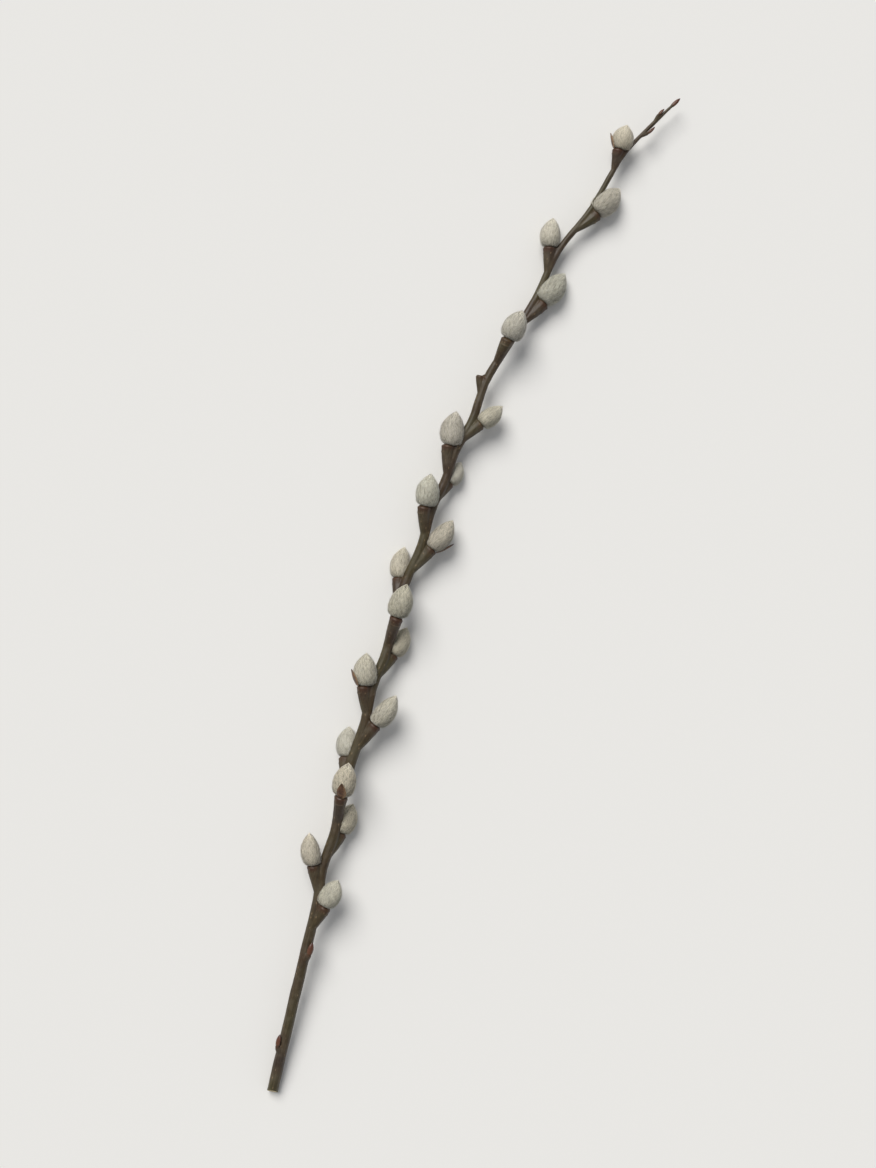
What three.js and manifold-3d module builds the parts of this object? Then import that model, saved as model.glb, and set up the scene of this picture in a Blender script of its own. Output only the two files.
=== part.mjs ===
// A cut branch of pussy willow as it lies on a table. One stem zigzags gently from node to node. At each node it
// flares into a cushion, and the cushion carries a silky catkin or a closed leaf bud.
// Millimetres, +Z up. The tip points along +Y, and the lowest points touch z = 0.
import * as THREE from 'three';
import { ConvexHull } from 'three/addons/math/ConvexHull.js';
import { mergeVertices } from 'three/addons/utils/BufferGeometryUtils.js';
import Module from 'manifold-3d';

const wasm = await Module();
wasm.setup();

// Stem: radii, and how it leans. Angles are in degrees.
const STEM_LENGTH = 700;
const BUTT_RADIUS = 3.7;
const TIP_RADIUS = 1.0;
const SLOW_TAPER = 1.1; // radius lost evenly along the stem; the rest goes in the last third
const START_HEADING = -8; // to the left of +Y at the cut end
const LEAN = 28; // how far the heading swings to the right by the tip
const BUTT_DIP = 10; // how steeply the stem comes up off the table at the cut end
const DIP_REACH = 230; // it has levelled out this far along
const TIP_RISE = 4; // how far the tip has turned up
const KINK = 6.5; // the stem turns this much away from the organ at each node
const KINK_REACH = 7; // half the length over which it turns
const TAPER_POWER = 6; // how late the tip's quick taper starts
const LEAN_POWER = 2.2; // how late the lean, the levelling out and the tip's rise come
const DIP_POWER = 1.5;
const RISE_POWER = 3;
const CUT_SLANT = 32; // the cut face looks back and up
const CUT_AT = 3; // where the cut crosses the middle line
const OFFCUT_SIZE = 44;

// Fits and meshes.
const GAP = 0.3; // left between touching pieces
const STEM_SIDES = 10;
const STEM_STEP = 7;
const MIDDLE_STEP = 5; // between the points of the middle line
const MERGE = 1e-3; // corners nearer than this are one
const CUSHION_SIDES = 10;
const CATKIN_SIDES = 12;
const CUSHION_STEPS = 4;
const BUD_SIDES = 8;
const SCALE_SIDES = 24;
const EGG_SIDES = 14;
const EGG_RINGS = 10;

// Catkins from the cut end up. side is the way each one faces round the stem, 0 right, 90 up, 180 left and
// 270 down; tilt is its lean away from the stem; sizes are over the silk.
const CATKINS = [
  { along: 131, side: 25, tilt: 16, length: 19, width: 12.0 },
  { along: 155, side: 166, tilt: 22, length: 21, width: 13.0 },
  { along: 178, side: 312, tilt: 12, length: 20, width: 12.8 },
  { along: 203, side: 96, tilt: 10, length: 22, width: 13.6 },
  { along: 226, side: 228, tilt: 16, length: 20, width: 13.0 },
  { along: 252, side: 12, tilt: 22, length: 23, width: 14.0 },
  { along: 274, side: 158, tilt: 12, length: 21, width: 13.4 },
  { along: 298, side: 318, tilt: 15, length: 20, width: 13.0 },
  { along: 322, side: 82, tilt: 9, length: 22, width: 14.0 },
  { along: 346, side: 222, tilt: 14, length: 21, width: 13.2 },
  { along: 371, side: 354, tilt: 20, length: 23, width: 14.2 },
  { along: 395, side: 148, tilt: 11, length: 21, width: 13.4 },
  { along: 415, side: 306, tilt: 13, length: 16, width: 10.6 },
  { along: 437, side: 172, tilt: 12, length: 22, width: 13.4 },
  { along: 458, side: 2, tilt: 28, length: 18, width: 12.2 },
  { along: 514, side: 114, tilt: 10, length: 20, width: 13.8 },
  { along: 547, side: 352, tilt: 10, length: 24, width: 14.0 },
  { along: 580, side: 186, tilt: 26, length: 19, width: 13.8 },
  { along: 615, side: 346, tilt: 9, length: 22, width: 13.2 },
  { along: 656, side: 174, tilt: 20, length: 16, width: 11.8 },
];
const SCALED_CATKINS = [4, 7, 11, 20]; // these have kept their dry bud scale
const EMPTY_NODE = { along: 486, side: 186, tilt: 16, length: 13, width: 8.5 }; // its catkin has dropped
const BUDS = [
  { along: 36, side: 140, tilt: 7, length: 8.0, width: 3.6 },
  { along: 67, side: 290, tilt: 7, length: 8.5, width: 3.8 },
  { along: 99, side: 60, tilt: 7, length: 8.5, width: 3.8 },
  { along: 676, side: 10, tilt: 9, length: 6.0, width: 2.6 },
  { along: 689, side: 150, tilt: 9, length: 5.0, width: 2.3 },
];
const END_BUD = { length: 6.5, width: 2.4 };

// Outlines as shares of the half width and the length, from the foot to the tip.
const CATKIN_OUTLINE = [[0, 0], [0.55, 0], [0.82, 0.09], [0.96, 0.22], [1, 0.36], [0.94, 0.53],
  [0.78, 0.69], [0.54, 0.83], [0.28, 0.94], [0, 1]];
const BUD_OUTLINE = [[0, 0], [0.7, 0], [1, 0.28], [0.86, 0.56], [0.5, 0.82], [0, 1]];
const CATKIN_DEPTH = 0.88; // pressed a little flat against the stem
const BUD_DEPTH = 0.72;
const COLLAR = 0.33; // a cushion's top radius as a share of its catkin's width
const COLLAR_OFFSET = 0.75; // how far a collar's middle is outside the bark, as a share of its radius
const CUSHION_LENGTH = 0.8; // as a share of its catkin's length
const CUSHION_ROOT = 0.9; // its radius where it leaves the stem, as a share of the stem's
const CUSHION_BEND = 0.25; // how much of it follows the catkin's axis
const BUD_COLLAR = 0.42;
const BUD_CUSHION = 5;
const SCALE_WALL = 0.5;
const SCALE_CLEARANCE = 0.5;
const SCALE_LEAN = 9; // a loose scale stands off its catkin
// The upright egg that a scale's outline follows: half sizes and middle. Across and out are shares of the catkin's
// width, and along is a share of its length.
const EGG = { across: 0.3, along: 0.26, out: 0.25, middleAlong: 0.27, middleOut: 0.5 };

// kg per cubic millimetre, for finding how the branch comes to rest.
const WOOD_DENSITY = 6e-7;
const CATKIN_DENSITY = 3e-7;

const colours = {
  bark: new THREE.MeshStandardMaterial({ color: 0x4d3a2b, roughness: 0.55, metalness: 0 }),
  silk: new THREE.MeshStandardMaterial({ color: 0xbdb6a6, roughness: 0.9, metalness: 0 }),
  scale: new THREE.MeshStandardMaterial({ color: 0x4a2a1a, roughness: 0.4, metalness: 0 }),
  bud: new THREE.MeshStandardMaterial({ color: 0x6b3320, roughness: 0.4, metalness: 0 }),
};

function stemRadius(along) {
  const share = along / STEM_LENGTH;
  const quickTaper = BUTT_RADIUS - SLOW_TAPER - TIP_RADIUS;
  return BUTT_RADIUS - SLOW_TAPER * share - quickTaper * share ** TAPER_POWER;
}

// The stem's middle line, found by walking up it in short steps: a slow lean, and at each node a turn away from the
// organ that the node bears.
function stemCurve() {
  const nodes = [...CATKINS, EMPTY_NODE].sort((a, b) => a.along - b.along);
  const points = [new THREE.Vector3()];
  const place = new THREE.Vector3();
  for (let along = 1; along <= STEM_LENGTH; along += 1) {
    const share = along / STEM_LENGTH;
    const away = new THREE.Vector2();
    for (const node of nodes) {
      const side = THREE.MathUtils.degToRad(node.side);
      const turned = THREE.MathUtils.smoothstep(along, node.along - KINK_REACH, node.along + KINK_REACH);
      away.lerp(new THREE.Vector2(-Math.cos(side), -Math.sin(side)), turned);
    }
    const heading = THREE.MathUtils.degToRad(START_HEADING + LEAN * share ** LEAN_POWER + KINK * away.x);
    const dip = BUTT_DIP * Math.max(0, 1 - along / DIP_REACH) ** DIP_POWER;
    const pitch = THREE.MathUtils.degToRad(dip + TIP_RISE * share ** RISE_POWER + KINK * away.y);
    place.x += Math.sin(heading) * Math.cos(pitch);
    place.y += Math.cos(heading) * Math.cos(pitch);
    place.z += Math.sin(pitch);
    if (along % MIDDLE_STEP === 0) points.push(place.clone());
  }
  return new THREE.CatmullRomCurve3(points);
}
const middle = stemCurve();

// The frame of a curve at a share of its length: ahead along it, right across it and up.
function frameOn(curve, share) {
  const point = curve.getPointAt(share);
  const ahead = curve.getTangentAt(share).normalize();
  const right = new THREE.Vector3().crossVectors(ahead, new THREE.Vector3(0, 0, 1)).normalize();
  const up = new THREE.Vector3().crossVectors(right, ahead);
  return { point, ahead, right, up };
}

// A turned shape whose outline gives radius against share of the way, bent to follow a curve.
function grow(outline, curve, sides) {
  const shape = new THREE.LatheGeometry(outline, sides);
  const vertices = shape.getAttribute('position');
  for (let i = 0; i < vertices.count; i += 1) {
    const { point, right, up } = frameOn(curve, THREE.MathUtils.clamp(vertices.getY(i), 0, 1));
    point.addScaledVector(right, vertices.getX(i)).addScaledVector(up, vertices.getZ(i));
    vertices.setXYZ(i, point.x, point.y, point.z);
  }
  return shape;
}

function solid(geometry) {
  const bare = geometry.clone();
  bare.deleteAttribute('normal');
  bare.deleteAttribute('uv');
  const merged = mergeVertices(bare, MERGE);
  return new wasm.Manifold(new wasm.Mesh({
    numProp: 3,
    vertProperties: merged.attributes.position.array,
    triVerts: new Uint32Array(merged.index.array),
  }));
}

function geometryOf(manifold) {
  const mesh = manifold.getMesh();
  const geometry = new THREE.BufferGeometry();
  geometry.setAttribute('position', new THREE.BufferAttribute(new Float32Array(mesh.vertProperties), 3));
  geometry.setIndex(new THREE.BufferAttribute(new Uint32Array(mesh.triVerts), 1));
  geometry.computeVertexNormals();
  return geometry;
}

// Where an organ sits: the middle of its collar, its axis, and the way it faces out from the stem.
function seat({ along, side, tilt, width }, collar = COLLAR) {
  const { point, ahead, right, up } = frameOn(middle, along / STEM_LENGTH);
  const turn = THREE.MathUtils.degToRad(side);
  const lean = THREE.MathUtils.degToRad(tilt);
  const out = right.multiplyScalar(Math.cos(turn)).addScaledVector(up, Math.sin(turn));
  const offset = stemRadius(along) + COLLAR_OFFSET * collar * width;
  const axis = ahead.clone().multiplyScalar(Math.cos(lean)).addScaledVector(out, Math.sin(lean));
  return { foot: point.addScaledVector(out, offset), axis, out, radius: collar * width };
}

// The flare of the stem below an organ: a wedge that leaves the stem's middle and widens evenly up to the collar.
function cushion(organ, reach, collar) {
  const { foot, axis, radius } = seat(organ, collar);
  const start = organ.along - reach;
  const root = middle.getPointAt(start / STEM_LENGTH);
  const bend = foot.clone().addScaledVector(axis, -CUSHION_BEND * reach);
  const inner = CUSHION_ROOT * stemRadius(start);
  const outline = [new THREE.Vector2(0, 0)];
  for (let i = 0; i <= CUSHION_STEPS; i += 1) {
    const share = i / CUSHION_STEPS;
    outline.push(new THREE.Vector2(inner + (radius - inner) * share, share));
  }
  outline.push(new THREE.Vector2(0, 1));
  return solid(grow(outline, new THREE.QuadraticBezierCurve3(root, bend, foot), CUSHION_SIDES));
}

// The bare stem, or with room to spare the space that it keeps clear.
function rod(room = 0) {
  const steps = Math.round(STEM_LENGTH / STEM_STEP);
  const outline = [new THREE.Vector2(0, 0)];
  for (let i = 0; i <= steps; i += 1) {
    const share = i / steps;
    outline.push(new THREE.Vector2(stemRadius(share * STEM_LENGTH) + room, share));
  }
  outline.push(new THREE.Vector2(0, 1));
  return solid(grow(outline, middle, STEM_SIDES));
}

// What the secateurs took off: a block whose near face is the slanting cut.
function offcut() {
  const size = OFFCUT_SIZE;
  const block = new THREE.BoxGeometry(size, size, size).translate(0, -size / 2, 0);
  const { point, ahead, right, up } = frameOn(middle, CUT_AT / STEM_LENGTH);
  block.rotateX(THREE.MathUtils.degToRad(-CUT_SLANT));
  return solid(block.applyMatrix4(new THREE.Matrix4().makeBasis(right, ahead, up).setPosition(point)));
}

function stem() {
  let whole = rod();
  for (const catkin of CATKINS) whole = whole.add(cushion(catkin, CUSHION_LENGTH * catkin.length));
  whole = whole.add(cushion(EMPTY_NODE, CUSHION_LENGTH * EMPTY_NODE.length));
  for (const bud of BUDS) whole = whole.add(cushion(bud, BUD_CUSHION, BUD_COLLAR));
  whole = whole.subtract(offcut());
  const mesh = new THREE.Mesh(geometryOf(whole), colours.bark);
  mesh.name = 'stem';
  return mesh;
}

// A closed turned shape standing on its foot, with its length along +Y and its outer face towards +Z.
function turned(outline, length, width, depth, sides) {
  const points = outline.map(([radius, height]) => new THREE.Vector2(0.5 * width * radius, length * height));
  return new THREE.LatheGeometry(points, sides).scale(1, 1, depth);
}

// Stands a mesh on its seat, clear of the collar by the gap.
function stand(mesh, { foot, axis, out }) {
  const across = new THREE.Vector3().crossVectors(axis, out).normalize();
  const outer = new THREE.Vector3().crossVectors(across, axis);
  mesh.position.copy(foot).addScaledVector(axis, GAP);
  mesh.quaternion.setFromRotationMatrix(new THREE.Matrix4().makeBasis(across, axis, outer));
  return mesh;
}

// A catkin, with a shallow groove where it presses against the stem.
function catkin(organ, number) {
  const shape = turned(CATKIN_OUTLINE, organ.length, organ.width, CATKIN_DEPTH, CATKIN_SIDES);
  const whole = stand(new THREE.Mesh(shape, colours.silk), seat(organ));
  whole.updateMatrix();
  const pressed = solid(shape.clone().applyMatrix4(whole.matrix)).subtract(clearance);
  whole.geometry = geometryOf(pressed).applyMatrix4(whole.matrix.clone().invert());
  whole.name = 'catkin_' + String(number).padStart(2, '0');
  return whole;
}

// A dry bud scale: the part of a shell round the catkin's foot that lies inside an upright egg shape.
function budScale(organ, number) {
  const { length, width } = organ;
  const spare = 2 * SCALE_CLEARANCE;
  const inner = turned(CATKIN_OUTLINE, length + spare, width + spare, CATKIN_DEPTH, SCALE_SIDES);
  const wide = width + spare + 2 * SCALE_WALL;
  const outer = turned(CATKIN_OUTLINE, length + spare, wide, CATKIN_DEPTH, SCALE_SIDES);
  const egg = new THREE.SphereGeometry(1, EGG_SIDES, EGG_RINGS);
  egg.scale(EGG.across * width, EGG.along * length, EGG.out * width);
  egg.translate(0, EGG.middleAlong * length, EGG.middleOut * width);
  const shell = solid(outer).subtract(solid(inner)).intersect(solid(egg));
  const shape = geometryOf(shell).rotateX(THREE.MathUtils.degToRad(SCALE_LEAN));
  const mesh = new THREE.Mesh(shape, colours.scale);
  mesh.name = 'bud_scale_' + String(number).padStart(2, '0');
  return stand(mesh, seat(organ));
}

function bud(organ, number) {
  const shape = turned(BUD_OUTLINE, organ.length, organ.width, BUD_DEPTH, BUD_SIDES);
  const mesh = new THREE.Mesh(shape, colours.bud);
  mesh.name = 'bud_' + number;
  return stand(mesh, seat(organ, BUD_COLLAR));
}

function endBud() {
  const { point, ahead, up } = frameOn(middle, 1);
  const shape = turned(BUD_OUTLINE, END_BUD.length, END_BUD.width, 1, BUD_SIDES);
  const mesh = new THREE.Mesh(shape, colours.bud);
  mesh.name = 'end_bud';
  return stand(mesh, { foot: point, axis: ahead, out: up });
}

// A mesh's corners where they stand, its volume, and its volume times its centre.
function measure(mesh) {
  const shape = mesh.geometry.clone().applyMatrix4(mesh.matrixWorld);
  const faces = shape.index ? shape.toNonIndexed() : shape;
  const place = faces.getAttribute('position');
  const corners = [];
  for (let i = 0; i < place.count; i += 1) corners.push(new THREE.Vector3().fromBufferAttribute(place, i));
  let volume = 0;
  const moment = new THREE.Vector3();
  for (let i = 0; i < corners.length; i += 3) {
    const [a, b, c] = corners.slice(i, i + 3);
    const part = a.dot(b.clone().cross(c)) / 6;
    volume += part;
    moment.addScaledVector(a.clone().add(b).add(c), part / 4);
  }
  return { corners, volume, moment };
}

// Lays the branch down. It comes to rest on a face of its hull with its centre of mass above that face, and of
// those faces this takes the one that turns the branch least. The origin is then below the middle of its box.
function layDown(branch) {
  branch.updateMatrixWorld(true);
  const corners = [];
  const centre = new THREE.Vector3();
  let mass = 0;
  for (const mesh of branch.children) {
    const part = measure(mesh);
    const density = mesh.name.startsWith('catkin') ? CATKIN_DENSITY : WOOD_DENSITY;
    corners.push(...part.corners);
    centre.addScaledVector(part.moment, density);
    mass += density * part.volume;
  }
  centre.divideScalar(mass);
  const resting = new ConvexHull().setFromPoints(corners).faces.filter((face) => {
    const feet = [0, 1, 2].map((i) => face.getEdge(i).head().point);
    const below = centre.clone().addScaledVector(face.normal, -face.distanceToPoint(centre));
    return new THREE.Triangle(...feet).containsPoint(below);
  });
  resting.sort((a, b) => a.normal.z - b.normal.z);
  branch.quaternion.setFromUnitVectors(resting[0].normal, new THREE.Vector3(0, 0, -1));
  const box = new THREE.Box3().setFromObject(branch, true);
  branch.position.set(-(box.min.x + box.max.x) / 2, -(box.min.y + box.max.y) / 2, -box.min.z);
}

const clearance = rod(GAP);
const branch = new THREE.Group();
branch.add(stem());
CATKINS.forEach((organ, i) => branch.add(catkin(organ, i + 1)));
for (const number of SCALED_CATKINS) branch.add(budScale(CATKINS[number - 1], number));
BUDS.forEach((organ, i) => branch.add(bud(organ, i + 1)));
branch.add(endBud());
layDown(branch);

export default branch;
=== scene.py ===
# A cut branch of pussy willow, lying on a pale table and seen from above: a waxy brown stem, silky catkins
# on their cushions, a few dry bud scales, closed buds, and the slanting cut. Metres, +Z up.
import math

import bpy
import numpy as np
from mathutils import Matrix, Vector, noise
from mathutils.bvhtree import BVHTree


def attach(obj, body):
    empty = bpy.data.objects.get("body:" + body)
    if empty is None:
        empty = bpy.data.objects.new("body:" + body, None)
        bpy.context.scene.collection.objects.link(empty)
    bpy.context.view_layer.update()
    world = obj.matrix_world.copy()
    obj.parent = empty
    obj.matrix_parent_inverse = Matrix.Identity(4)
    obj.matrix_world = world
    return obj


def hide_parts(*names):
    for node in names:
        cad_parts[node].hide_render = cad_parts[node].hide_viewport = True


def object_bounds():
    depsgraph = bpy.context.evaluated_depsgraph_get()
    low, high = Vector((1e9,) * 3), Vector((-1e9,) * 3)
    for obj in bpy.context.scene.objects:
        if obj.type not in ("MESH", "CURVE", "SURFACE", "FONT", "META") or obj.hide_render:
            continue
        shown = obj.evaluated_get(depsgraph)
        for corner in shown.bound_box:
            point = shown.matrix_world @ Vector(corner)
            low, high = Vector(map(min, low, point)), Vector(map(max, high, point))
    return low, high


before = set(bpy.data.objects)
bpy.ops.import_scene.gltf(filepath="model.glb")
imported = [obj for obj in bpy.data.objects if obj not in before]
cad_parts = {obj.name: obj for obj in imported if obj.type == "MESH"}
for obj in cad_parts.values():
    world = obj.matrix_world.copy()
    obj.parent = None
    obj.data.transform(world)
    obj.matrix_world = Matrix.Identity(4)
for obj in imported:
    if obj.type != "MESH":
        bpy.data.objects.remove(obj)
cad_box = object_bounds()
bpy.ops.object.select_all(action="DESELECT")
MM = 0.001


# STEM. Thin, smooth, waxy bark over pale wood. It flares into a cushion below each organ, with a reddish
# collar lip at its top and a leaf scar on its outer face. Made from the CAD stem: rebuilt in small even
# faces, smoothed, and then raised at the collars and scars. The cut end is sliced flat.
MERGE_WITHIN = 0.002 * MM
STEM_VOXEL = 0.5 * MM
SMOOTHING_ROUNDS = 14
SMOOTHING = (0.5, -0.53)  # in, and then a little further out, so that nothing shrinks

catkin_nodes = sorted(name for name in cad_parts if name.startswith("catkin_"))
scale_nodes = sorted(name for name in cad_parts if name.startswith("bud_scale_"))
bud_nodes = sorted(set(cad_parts) - set(catkin_nodes) - set(scale_nodes) - {"stem"})


def srgb(red, green, blue):
    """A screen colour, 0 to 255, as the linear colour that a shader takes."""
    share = [value / 255 for value in (red, green, blue)]
    return [v / 12.92 if v <= 0.04045 else ((v + 0.055) / 1.055) ** 2.4 for v in share] + [1]


def fresh_copy(node, name):
    """A new piece that starts from a CAD node's mesh, with its loose faces joined."""
    bpy.ops.object.select_all(action="DESELECT")
    piece = bpy.data.objects.new(name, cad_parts[node].data.copy())
    bpy.context.scene.collection.objects.link(piece)
    bpy.context.view_layer.objects.active = piece
    piece.select_set(True)
    piece.data.materials.clear()
    bpy.ops.object.mode_set(mode="EDIT")
    bpy.ops.mesh.select_all(action="SELECT")
    bpy.ops.mesh.remove_doubles(threshold=MERGE_WITHIN)
    bpy.ops.object.mode_set(mode="OBJECT")
    return piece


def rebuild(piece, voxel, rounds):
    """Rebuilds a piece in small even faces, and smooths it without shrinking it."""
    modifier = piece.modifiers.new("rebuild", "REMESH")
    modifier.mode = "VOXEL"
    modifier.voxel_size = voxel
    bpy.ops.object.modifier_apply(modifier=modifier.name)
    for _ in range(rounds):
        for factor in SMOOTHING:
            modifier = piece.modifiers.new("smooth", "SMOOTH")
            modifier.factor = factor
            bpy.ops.object.modifier_apply(modifier=modifier.name)


def corners_of(mesh):
    """A mesh's corners as an array, one row each."""
    corners = np.empty(3 * len(mesh.vertices), np.float32)
    mesh.vertices.foreach_get("co", corners)
    return corners.reshape(-1, 3).astype(float)


def put_corners(mesh, corners):
    mesh.vertices.foreach_set("co", corners.astype(np.float32).ravel())
    mesh.update()


def normals_of(mesh):
    normals = np.empty(3 * len(mesh.vertices), np.float32)
    mesh.vertices.foreach_get("normal", normals)
    return normals.reshape(-1, 3).astype(float)


def surface_of(mesh):
    """A mesh's surface, for finding the nearest place on it and shooting rays at it."""
    return BVHTree.FromPolygons([v.co for v in mesh.vertices], [list(p.vertices) for p in mesh.polygons])


def unit(vectors):
    return vectors / np.maximum(np.linalg.norm(vectors, axis=-1, keepdims=True), 1e-12)


def bell(distance, spread):
    return np.exp(-((distance / spread) ** 2))


def swells_at(points, to_the_metre, start=(0, 0, 0)):
    """Smooth noise, -1 to 1, at points, with so many swells to the metre each way."""
    return np.array([noise.noise(Vector(point)) for point in points * to_the_metre + start])


def write_attribute(mesh, name, kind, values):
    """Stores one value for each corner, for the materials to read."""
    field = {"FLOAT": "value", "FLOAT_VECTOR": "vector", "FLOAT_COLOR": "color"}[kind]
    attribute = mesh.attributes.new(name, kind, "POINT")
    attribute.data.foreach_set(field, np.asarray(values, np.float32).ravel())


def corners_in_faces(mesh):
    """For each corner of each face in turn, which of the mesh's corners it is."""
    corners = np.empty(len(mesh.loops), int)
    mesh.loops.foreach_get("vertex_index", corners)
    return corners


def write_map(mesh, places):
    """Adds the flat map for baking, with a place for each corner of each face."""
    mesh.uv_layers.new(name="OFBake").data.foreach_set("uv", places.astype(np.float32).ravel())


stem = fresh_copy("stem", "willow_stem")
cad_stem = surface_of(stem.data)

# Where the organs sit on it.
FOOT_SLICE = 0.4 * MM  # an organ's corners this near to its lowest are its foot
BELLY = 0.4  # where an organ is thickest, as a share of its length


def way_out(point, below):
    """The way to a point from the stem's surface, at its nearest to a place on or below the point."""
    return point - np.array(cad_stem.find_nearest(Vector(below))[0])


def seat_of(node):
    """Where an organ sits, from its CAD mesh: its foot, its axis to the tip, the way across, the way out,
    and its length, half width and half depth."""
    corners = np.unique(corners_of(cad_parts[node].data).round(6), axis=0)
    axis = np.linalg.svd(corners - corners.mean(0), full_matrices=False)[2][0]
    for _ in range(3):
        axis = axis * np.sign(axis[1])
        reach = corners @ axis
        foot = corners[reach < reach.min() + FOOT_SLICE].mean(0)
        tip = corners[reach.argmax()]
        length = np.linalg.norm(tip - foot)
        axis = (tip - foot) / length
    belly = foot + BELLY * length * axis
    out = np.array([0.0, 0.0, 1.0]) if node == "end_bud" else way_out(belly, belly)
    out = unit(out - (out @ axis) * axis)
    across = np.cross(out, axis)
    spread = corners - foot
    return {
        "foot": foot,
        "axis": axis,
        "across": across,
        "out": out,
        "length": length,
        "half_width": np.abs(spread @ across).max(),
        "half_depth": (spread @ out).max(),
    }


seats = {node: seat_of(node) for node in catkin_nodes + bud_nodes}

# The collar that has lost its catkin, and the slanting cut, as the CAD stem has them.
TOP_FACES_TIP = 0.8  # how squarely a collar's top faces along the branch
CUT_FACES_BACK = 0.6
SEAT_REACH = 6 * MM  # a top that is further than this from every organ has none
CUT_REACH = 12 * MM
LOST_CATKIN = (4.3 * MM, 13 * MM)  # the half width and the length of the catkin that stood there


def flat_place(belongs):
    """The middle of the CAD stem's faces that belong, and the way they face."""
    faces = [face for face in stem.data.polygons if belongs(face)]
    areas = np.array([face.area for face in faces])
    middle = areas @ np.array([face.center for face in faces]) / areas.sum()
    return middle, unit(areas @ np.array([face.normal for face in faces]))


def on_empty_top(face):
    clear = min(np.linalg.norm(np.array(face.center) - seat["foot"]) for seat in seats.values())
    return face.normal.y > TOP_FACES_TIP and clear > SEAT_REACH


def on_cad_cut(face):
    return face.normal.y < -CUT_FACES_BACK and face.center.y < cad_box[0].y + CUT_REACH


empty_top, empty_axis = flat_place(on_empty_top)
cut_middle, cut_facing = flat_place(on_cad_cut)

rebuild(stem, STEM_VOXEL, SMOOTHING_ROUNDS)

# The middle line of the stem, so that grain and marks can follow it as if it were straight.
STATION_STEP = 6 * MM
SMOOTHED_OVER = 7  # stations

bark_points = corners_of(stem.data)
stations = np.arange(bark_points[:, 1].min(), bark_points[:, 1].max() + STATION_STEP, STATION_STEP)
station = np.clip(np.digitize(bark_points[:, 1], stations) - 1, 0, len(stations) - 1)
count = np.maximum(np.bincount(station, minlength=len(stations)), 1)
smooth_window = np.hanning(SMOOTHED_OVER) / np.hanning(SMOOTHED_OVER).sum()
middle_line = []
for side in (0, 2):
    means = np.bincount(station, bark_points[:, side], len(stations)) / count
    padded = np.pad(means, SMOOTHED_OVER // 2, mode="edge")
    middle_line.append(np.convolve(padded, smooth_window, "valid"))


def straightened(points):
    """Points as they would lie if the stem were straight: across, along and up from its middle line."""
    straight = points.copy()
    for side, line in zip((0, 2), middle_line):
        straight[:, side] -= np.interp(points[:, 1], stations + STATION_STEP / 2, line)
    return straight


# Collar lips, leaf scars and their stain. Sizes are for the collar of an organ of FULL_SIZE or more.
FULL_SIZE = 5 * MM  # half the organ's width
COLLAR_RADIUS = 0.66  # as a share of half the organ's width
COLLAR_DOWN = 0.9  # how far down its marks can be, as a share of the organ's length
COLLAR_OUT = 1.6  # how far out, in collar radii
COLLAR_FLARE = 0.4  # and how much further than that, as a share of the way down
TOP_FADE = 0.6 * MM
SHOULDER = 2.2 * MM  # how far below its top a collar starts to round in
SHOULDER_DRAW = 0.26
RIM = 0.55  # the lip starts this far out, in collar radii
LIP_HEIGHT = 0.22 * MM
LIP_BELOW = 1.5 * MM
LIP_SPREAD = 0.5 * MM
COLLAR_STAIN = 2.8 * MM
SCAR_HEIGHT = 0.24 * MM
SCAR_SPREAD = 0.26 * MM
SCAR_BELOW = 0.24  # as a share of the organ's length
SCAR_BEND = 3 * MM  # how much its ends turn up
SCAR_ENDS = (0.62, 0.92)  # how squarely the bark faces out where a scar starts, and where it's widest
BELOW_EMPTY = 6 * MM  # where the empty collar's way out is taken

bark_normals = normals_of(stem.data)
raised = np.zeros(len(bark_points))
drawn_in = np.zeros(bark_points.shape)
collar_stain = np.zeros(len(bark_points))
scar_mark = np.zeros(len(bark_points))
empty_out = unit(way_out(empty_top, empty_top - BELOW_EMPTY * empty_axis))
collars = [
    (seat["foot"], seat["axis"], seat["out"], seat["half_width"], seat["length"])
    for node, seat in seats.items() if node != "end_bud"
]
collars.append((empty_top, empty_axis, empty_out, *LOST_CATKIN))
for foot, axis, out, half_width, length in collars:
    offset = bark_points - foot
    below = -(offset @ axis)
    beside = offset + below[:, None] * axis
    radius = np.linalg.norm(beside, axis=1)
    collar_radius = COLLAR_RADIUS * half_width
    near = radius < COLLAR_OUT * collar_radius + COLLAR_FLARE * below.clip(0)
    near &= np.abs(below) < COLLAR_DOWN * length
    near = near * np.clip((beside @ out) / collar_radius + 1, 0, 1) * np.clip(2 + below / TOP_FADE, 0, 1)
    size = min(1.0, half_width / FULL_SIZE)

    shoulder = np.clip(1 - below / (size * SHOULDER), 0, 1.2) ** 2
    drawn_in -= (SHOULDER_DRAW * near * shoulder)[:, None] * beside
    rim = near * (radius > RIM * collar_radius)
    raised += rim * size * LIP_HEIGHT * bell(below - size * LIP_BELOW, size * LIP_SPREAD)
    collar_stain = np.maximum(collar_stain, near * bell(below - size * LIP_BELOW, size * COLLAR_STAIN))

    facing = (beside @ out) / np.maximum(radius, 1e-9)
    scar_line = length * SCAR_BELOW - SCAR_BEND * size * (1 - facing)
    crescent = np.clip((facing - SCAR_ENDS[0]) / (SCAR_ENDS[1] - SCAR_ENDS[0]), 0, 1)
    scar_width = SCAR_SPREAD * (0.4 + 0.6 * size) * (0.4 + crescent)  # thinner if small, and at its ends
    scar = near * crescent * bell(below - scar_line, scar_width)
    raised += size * SCAR_HEIGHT * scar
    scar_mark = np.maximum(scar_mark, scar)

# The bark's own unevenness, as swells to the metre across, along and up.
BARK_WAVES = 0.11 * MM
BARK_SWELLS = 0.28 * MM

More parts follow.
